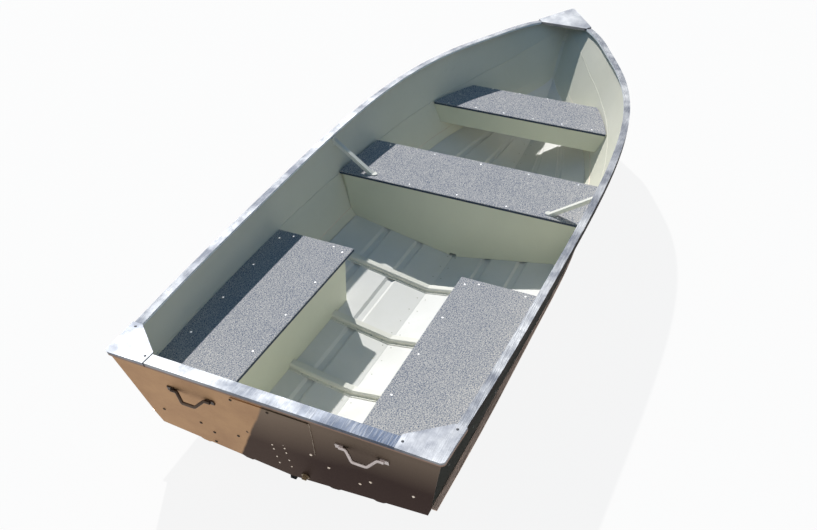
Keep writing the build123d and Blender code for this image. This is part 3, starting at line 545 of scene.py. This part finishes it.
WELD = (0.006, 0.004)
WELD_HEIGHTS = (0.432, 0.420, 0.407, 0.393)
WELDS_START = 1.5
AHEAD = Vector((1.0, 0.0, 0.0))
welds = [(WELDS_START, 0.0, z) for z in WELD_HEIGHTS]
fore_pieces = ("stem", "hull_side_port", "hull_side_starboard")
rivet_heads("stem_welds", crease_paint, WELD, welds, AHEAD, fore_pieces)


# Ribs: hat sections of folded sheet, laid across the bottom and painted with the inside. Rivets
# hold them to it through the flange that lies astern.
# Painted light: a copy of the interior paint, tinted between the floor's and the sides'.
RIB_PAINT = (0.82, 0.805, 0.74, 1.0)
rib_paint = painted_finish("rib_paint", paint=RIB_PAINT)
ribs = tuple(f"rib_{number}" for number in range(1, 5))
for rib in ribs:
    dress(rib, rib_paint)

RIB_RIVET = (0.0038, 0.0014)
RIB_RIVETS_ASIDE = (0.034, 0.086, 0.15, 0.22, 0.30, 0.38)
RIB_FLANGE_ABAFT = 0.026
JUST_OVER_RIBS = 0.08
rib_places = [
    (middle - RIB_FLANGE_ABAFT, side * aside, JUST_OVER_RIBS)
    for middle in RIB_MIDDLES for aside in RIB_RIVETS_ASIDE for side in (1, -1)
]
rivet_heads("rib_rivets", floor_rivet, RIB_RIVET, rib_places, DOWN, ribs)


# Transom: the outer sheet laps the ends of the hull sheets over a plywood core. Its bare metal carries a
# painted reflection, tan to port and dark to starboard, and painted shade that darkens it further to
# starboard and along the foot.
TAN = (0.475, 0.31, 0.172, 1.0)
TAN_STAIN = (0.33, 0.20, 0.115, 1.0)
REFLECTED_DARK = (0.185, 0.150, 0.112, 1.0)
PAINTED_SHADE_FOOT = (0.007, 0.004, 0.003, 1.0)
TRANSOM_GLANCE = (0.94, 0.80, 0.77, 1.0)
TRANSOM_TOP = 0.375
DARK_EDGE_AT_TOP = 0.021
DARK_EDGE_SLANT = 0.464
DARK_EDGE_RIPPLE = 0.006
DARK_EDGE_BLUR = (0.005, -0.004)
FOOT_FADES = (0.36, 0.13)
STARBOARD_FADES = (0.0, -0.30)
STARBOARD_SHARE = 0.35
DARKEST_SHARE = 0.85
TAN_STAINS = 0.5
REFLECTED_DARK_MARKS = 0.22
TRANSOM_ROUGH = (0.48, 0.62)
TRANSOM_PITS = (0.2, 0.0012)


def transom_finish(name):
    """Bare sheet with a painted reflection: a tan and a dark region that meet along one slanting line, the
    dark one deepened by painted shade.
    """
    material, tree, shader = new_material(name)
    wear = place_group(tree, blotches, Stain_Scale=9.0, Mark_Scale=110.0, Scratch_Scale=120.0)
    place = tree.nodes.new("ShaderNodeTexCoord").outputs["Object"]
    part = tree.nodes.new("ShaderNodeSeparateXYZ")
    tree.links.new(place, part.inputs[0])
    # Painted reflection: tan where the metal showed sunlit ground, dark past the slanting line where it
    # showed shaded ground.
    down = math_node(tree, "SUBTRACT", TRANSOM_TOP, part.outputs["Z"])
    edge = math_node(tree, "ADD", scaled(tree, down, DARK_EDGE_SLANT), DARK_EDGE_AT_TOP)
    ripple = scaled(tree, wear.outputs["Stain"], DARK_EDGE_RIPPLE)
    across = math_node(tree, "ADD", math_node(tree, "SUBTRACT", part.outputs["Y"], edge), ripple)
    dark = steps(tree, across, *DARK_EDGE_BLUR)
    # Painted shade: the dark region deepens towards the foot and to starboard.
    foot = steps(tree, part.outputs["Z"], *FOOT_FADES)
    far = scaled(tree, steps(tree, part.outputs["Y"], *STARBOARD_FADES), STARBOARD_SHARE)
    deep = math_node(tree, "MULTIPLY", math_node(tree, "ADD", foot, far), DARKEST_SHARE, clamp=True)
    tan = mix_color(tree, scaled(tree, wear.outputs["Stain"], TAN_STAINS), TAN, TAN_STAIN)
    reflected_dark = mix_color(tree, deep, REFLECTED_DARK, PAINTED_SHADE_FOOT)
    reflected_dark = mix_color(tree, scaled(tree, wear.outputs["Marks"], REFLECTED_DARK_MARKS), reflected_dark, REFLECTED_DARK)
    tree.links.new(mix_color(tree, dark, tan, reflected_dark), shader.inputs["Base Color"])
    shader.inputs["Metallic"].default_value = 1.0
    shader.inputs["Specular Tint"].default_value = TRANSOM_GLANCE
    tree.links.new(mix_value(tree, wear.outputs["Marks"], *TRANSOM_ROUGH), shader.inputs["Roughness"])
    bump(tree, shader, wear.outputs["Marks"], *TRANSOM_PITS)
    return material


transom_sheet = transom_finish("transom_sheet")
dress("transom_skin", transom_sheet)
dress("transom_core", painted_finish("core_paint"))

MILL = (0.112, 0.125, 0.155, 1.0)
MILL_WORN = (0.35, 0.365, 0.385, 1.0)
LEG_PAINTED_SHADE = (0.030, 0.025, 0.021, 1.0)
EDGE_PAINTED_HIGHLIGHT = (0.86, 0.89, 0.92, 1.0)
LIP_BROWN = (0.30, 0.20, 0.155, 1.0)
LIP_BLUR = 0.002
MILL_STAINS = 0.9
HIGHLIGHT_BASE = 0.45
HIGHLIGHT_GAIN = 1.2
LEG_METALLIC = 0.03
LEG_SHEEN = (0.5, 0.05)
WAVE_DEPTH = 4.6
DRAW_DEPTH = 3.0
MILL_RELIEF = (0.6, 0.0008)


def mill_finish(
    name, dull=MILL, worn=MILL_WORN, smooth=0.66, rough=0.56, drawn=0.3, lip=None, legs=False, highlight_span=None,
):
    """Mill-finish aluminium. Under the height lip it is brown, legs paints the inboard leg near white as a
    highlight and the outboard leg dark as shade, and across the boat between the two places it is given a
    painted highlight takes it from dull to worn."""
    material, tree, shader = new_material(name)
    wear = place_group(tree, blotches, Stain_Scale=7.0, Mark_Scale=70.0, Scratch_Scale=260.0)
    place = tree.nodes.new("ShaderNodeTexCoord").outputs["Object"]
    part = tree.nodes.new("ShaderNodeSeparateXYZ")
    tree.links.new(place, part.inputs[0])
    bright = scaled(tree, wear.outputs["Stain"], MILL_STAINS)
    # Painted highlight: brighter from the first given place across the boat to the second.
    if highlight_span:
        highlight = scaled(tree, steps(tree, part.outputs["Y"], *highlight_span), HIGHLIGHT_GAIN)
        bright = math_node(tree, "ADD", bright, HIGHLIGHT_BASE)
        bright = math_node(tree, "MULTIPLY", bright, highlight, clamp=True)
    tone = mix_color(tree, bright, dull, worn)
    tone = mix_color(tree, scaled(tree, wear.outputs["Scratches"], drawn), tone, worn)
    shader.inputs["Metallic"].default_value = 1.0
    # Painted highlight and shade: the inboard leg near white, the outboard leg brown-black.
    if legs:
        faces = place_group(tree, sheet_faces)
        upright = faces.outputs["Upright"]
        leg = mix_color(tree, faces.outputs["Outside"], EDGE_PAINTED_HIGHLIGHT, LEG_PAINTED_SHADE)
        tone = mix_color(tree, upright, tone, leg)
        tree.links.new(mix_value(tree, upright, 1.0, LEG_METALLIC), shader.inputs["Metallic"])
        tree.links.new(mix_value(tree, upright, *LEG_SHEEN), shader.inputs["Specular IOR Level"])
    if lip is not None:
        under = steps(tree, part.outputs["Z"], lip + LIP_BLUR, lip - LIP_BLUR)
        tone = mix_color(tree, under, tone, LIP_BROWN)
    tree.links.new(tone, shader.inputs["Base Color"])
    tree.links.new(mix_value(tree, wear.outputs["Stain"], smooth, rough), shader.inputs["Roughness"])
    # The extrusions were never quite flat, so the sun glances off them in patches.
    waves = scaled(tree, noise(tree, place, scale=11.0, detail=2.0, roughness=0.55), WAVE_DEPTH)
    draws = scaled(tree, wear.outputs["Scratches"], DRAW_DEPTH * drawn)
    bump(tree, shader, math_node(tree, "ADD", draws, waves), *MILL_RELIEF)
    return material


# Places across the boat and their heights: bolts painted dark to port and bright to starboard as painted
# reflections, and the small rivets over the drain.
DARK_BOLTS = (
    (0.494, 0.121), (0.337, 0.115), (0.307, 0.004), (0.292, 0.075), (0.180, 0.114), (0.125, 0.172),
)
BRIGHT_BOLTS = ((-0.494, 0.121), (-0.337, 0.115), (-0.292, 0.075), (-0.180, 0.114), (-0.125, 0.172))
WELL_RIVETS = (
    (-0.014, 0.166), (-0.014, 0.143), (-0.014, 0.113), (-0.014, 0.063), (-0.014, 0.019),
    (0.036, 0.139), (0.036, 0.112), (0.036, 0.060), (0.036, 0.017),
)
DARK_BOLT = (0.0065, 0.003)
BRIGHT_BOLT = (0.0055, 0.003)
WELL_RIVET = (0.0036, 0.002)
BOLT_BRIGHT = (0.74, 0.64, 0.54, 1.0)
BOLT_BRIGHTEST = (0.95, 0.88, 0.80, 1.0)
BOLT_BROWN = (0.11, 0.07, 0.045, 1.0)
BOLT_BLACK = (0.04, 0.028, 0.02, 1.0)
ASTERN = -2.5
bright_bolt = mill_finish("bright_bolt", dull=BOLT_BRIGHT, worn=BOLT_BRIGHTEST)
dark_bolt = painted_finish("dark_bolt", paint=BOLT_BROWN, grimy=BOLT_BLACK)


def transom_heads(name, material, size, places):
    starts = [(ASTERN, y, z) for y, z in places]
    rivet_heads(name, material, size, starts, AHEAD, ("transom_skin", "motor_plate"))


transom_heads("transom_bolts_port", dark_bolt, DARK_BOLT, DARK_BOLTS)
transom_heads("transom_bolts_starboard", bright_bolt, BRIGHT_BOLT, BRIGHT_BOLTS)
transom_heads("transom_rivets", bright_bolt, WELL_RIVET, WELL_RIVETS)


# Clamp plate for the outboard: a flat sheet bolted through the core, with the transom's painted reflection
# on it. It is thin and shows by its edges, the upper one dark and the starboard one a painted highlight.
PLATE_BOLT = (0.0060, 0.003)
PLATE_BOLTS = ((0.136, 0.367), (-0.004, 0.365))
FACES_STARBOARD = -0.7
dress("motor_plate", transom_sheet)
plate = nodes["motor_plate"].data
plate.materials.append(bright_bolt)
# Painted highlight: faces towards starboard take the bright bolt metal.
for face in plate.polygons:
    if face.normal.y < FACES_STARBOARD:
        face.material_index = 1
transom_heads("plate_bolts", dark_bolt, PLATE_BOLT, PLATE_BOLTS)


# Gunwales and transom rail: dull mill-finish extrusions with long draw marks, rubbed bright in places. A
# painted highlight also brightens the rail towards port; the inboard leg is painted near white as a
# highlight and the outboard leg brown-black as painted shade.
RAIL_DULL = (0.060, 0.080, 0.125, 1.0)
RAIL_HIGHLIGHT_SPAN = (-0.42, 0.35)
LIP_HEIGHT = 0.009
gunwale_metal = mill_finish("gunwale_metal", legs=True)
for side in ("port", "starboard"):
    dress(f"gunwale_{side}", gunwale_metal)
rail_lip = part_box("transom_rail")[0][2] + LIP_HEIGHT
dress("transom_rail", mill_finish("rail_metal", dull=RAIL_DULL, lip=rail_lip, highlight_span=RAIL_HIGHLIGHT_SPAN))


# Corner caps and bow cap: pressed aluminium over the ends of the extrusions, a little brighter
# and smoother than they are. Bolts at their seams hold the corner caps.
CAP_DULL = (0.158, 0.172, 0.204, 1.0)
CAP_WORN = (0.335, 0.35, 0.372, 1.0)


def cap_finish(name, lip=None):
    return mill_finish(name, dull=CAP_DULL, worn=CAP_WORN, smooth=0.62, rough=0.52, drawn=0.06, lip=lip)


cap_metal = cap_finish("cap_metal", lip=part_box("corner_cap_port")[0][2] + LIP_HEIGHT)
for side in ("port", "starboard"):
    dress(f"corner_cap_{side}", cap_metal)
dress("bow_cap", cap_finish("bow_cap_metal"))

CAP_BOLT = (0.005, 0.002)
CAP_BOLTS = ((-1.623, 0.478), (-1.504, 0.611))
CAP_BOLT_TONE = (0.16, 0.16, 0.17, 1.0)
CAP_BOLT_GRIMY = (0.05, 0.05, 0.05, 1.0)
cap_bolt = painted_finish("cap_bolt", paint=CAP_BOLT_TONE, grimy=CAP_BOLT_GRIMY)
for side, outboard in SIDES:
    starts = [(x, outboard * y, ABOVE) for x, y in CAP_BOLTS]
    carriers = (f"corner_cap_{side}", f"gunwale_{side}")
    rivet_heads(f"cap_bolts_{side}", cap_bolt, CAP_BOLT, starts, DOWN, carriers)


# Seats: folded sheet tops in a speckled dark blue coating, their upright lips darker as painted shade, on
# risers whose paint is a darker, yellower copy standing in for shade. Blind rivets hold the tops to the
# risers.
NAVY = (0.042, 0.082, 0.172, 1.0)
FLECK = (0.745, 0.71, 0.665, 1.0)
LIP_SHADE_NAVY = (0.07, 0.085, 0.12, 1.0)
# Painted shade: the risers get a darker, yellower copy of the interior paint.
RISER_PAINT_SHADE_TINTED = (0.76, 0.77, 0.63, 1.0)
FLECK_EDGES = (0.36, 0.64)
WORN_EDGES = (0.3, 0.7)
WORN_SHARE = 0.02
COATING_ROUGH = (0.7, 0.5)
COATING_SHEEN = 0.02
COATING_GRAIN = (0.35, 0.0012)


def seat_coating(name):
    """Dark coating with dense pale flecks and a fine grain, darker on upright lips as painted shade."""
    material, tree, shader = new_material(name)
    place = tree.nodes.new("ShaderNodeTexCoord").outputs["Object"]
    grain = noise(tree, place, scale=210.0, detail=3.0, roughness=0.75)
    wear = steps(tree, noise(tree, place, scale=9.0, detail=4.0, roughness=0.6), *WORN_EDGES)
    dense = math_node(tree, "ADD", grain, scaled(tree, wear, WORN_SHARE))
    flecks = steps(tree, dense, *FLECK_EDGES)
    upright = place_group(tree, sheet_faces).outputs["Upright"]
    # Painted shade: upright faces take a darker navy.
    tone = mix_color(tree, upright, mix_color(tree, flecks, NAVY, FLECK), LIP_SHADE_NAVY)
    tree.links.new(tone, shader.inputs["Base Color"])
    tree.links.new(mix_value(tree, flecks, *COATING_ROUGH), shader.inputs["Roughness"])
    shader.inputs["Specular IOR Level"].default_value = COATING_SHEEN
    bump(tree, shader, grain, *COATING_GRAIN)
    return material


seat_cover = seat_coating("seat_cover")
for seat in ("thwart_top", "bow_seat_top", "bench_top_port", "bench_top_starboard"):
    dress(seat, seat_cover)
riser_paint = painted_finish("riser_paint", paint=RISER_PAINT_SHADE_TINTED)
for riser in (
    "thwart_riser_aft", "thwart_riser_forward", "bow_seat_box", "bench_riser_port", "bench_riser_starboard",
):
    dress(riser, riser_paint)

# Places along the boat and across it, which the other side repeats.
BENCH_RIVETS = (
    (-0.558, 0.284), (-0.801, 0.284), (-1.041, 0.284), (-1.281, 0.284), (-0.535, 0.338), (-0.535, 0.539),
    (-1.282, 0.560), (-1.044, 0.572), (-0.796, 0.585), (-0.572, 0.590),
)
THWART_RIVETS = ((0.082, 0.0), (0.082, 0.247), (0.082, 0.494), (0.418, 0.0), (0.418, 0.252), (0.418, 0.504))
BOW_SEAT_RIVETS = ((1.025, 0.084), (1.025, 0.25), (1.025, 0.417), (1.312, 0.084), (1.312, 0.25))
BENCH_RIVET = (0.0046, 0.0020)
SEAT_RIVET = (0.0042, 0.0018)
RIVET_SILVER = (0.80, 0.82, 0.84, 1.0)
RIVET_BRIGHT = (0.95, 0.96, 0.97, 1.0)
seat_rivet = mill_finish("seat_rivet", dull=RIVET_SILVER, worn=RIVET_BRIGHT)
for side, outboard in SIDES:
    starts = [(x, outboard * y, ABOVE) for x, y in BENCH_RIVETS]
    carriers = (f"bench_top_{side}",)
    rivet_heads(f"bench_rivets_{side}", seat_rivet, BENCH_RIVET, starts, DOWN, carriers)
for name, carrier, places in (
    ("thwart_rivets", "thwart_top", THWART_RIVETS), ("bow_seat_rivets", "bow_seat_top", BOW_SEAT_RIVETS),
):
    starts = sorted({(x, outboard * y, ABOVE) for x, y in places for outboard in (1, -1)})
    rivet_heads(name, seat_rivet, SEAT_RIVET, starts, DOWN, (carrier,))


# Braces: aluminium tubes with flattened ends, which stiffen the sides from the middle seat.
# They are bolted on and painted a cream white.
CREAM = (0.88, 0.87, 0.80, 1.0)
CREAM_GRIMY = (0.66, 0.64, 0.55, 1.0)
brace_paint = painted_finish("brace_paint", paint=CREAM, grimy=CREAM_GRIMY)
for side in ("port", "starboard"):
    dress(f"brace_{side}", brace_paint)


# Fittings: cast lift handles, the bow eye and the brass drain plug, each screwed to its sheet.
# The port handle's dark brown is painted shade, the starboard one's pale metal a painted reflection.
HANDLE_BROWN = (0.045, 0.032, 0.026, 1.0)
HANDLE_BROWN_WORN = (0.12, 0.09, 0.07, 1.0)
HANDLE_PALE = (0.44, 0.38, 0.37, 1.0)
HANDLE_PALE_WORN = (0.66, 0.60, 0.58, 1.0)
EYE_METAL = (0.34, 0.32, 0.31, 1.0)
EYE_METAL_WORN = (0.52, 0.50, 0.49, 1.0)
BRASS_DARK = (0.10, 0.075, 0.05, 1.0)
BRASS_WORN = (0.42, 0.33, 0.22, 1.0)
for fitting, finish, dull, worn, smooth, rough in (
    ("lift_handle_port", "handle_brown", HANDLE_BROWN, HANDLE_BROWN_WORN, 0.36, 0.5),
    ("lift_handle_starboard", "handle_pale", HANDLE_PALE, HANDLE_PALE_WORN, 0.3, 0.45),
    ("bow_eye", "eye_metal", EYE_METAL, EYE_METAL_WORN, 0.3, 0.45),
    ("drain_plug", "plug_metal", BRASS_DARK, BRASS_WORN, 0.34, 0.5),
):
    dress(fitting, mill_finish(finish, dull=dull, worn=worn, smooth=smooth, rough=rough))
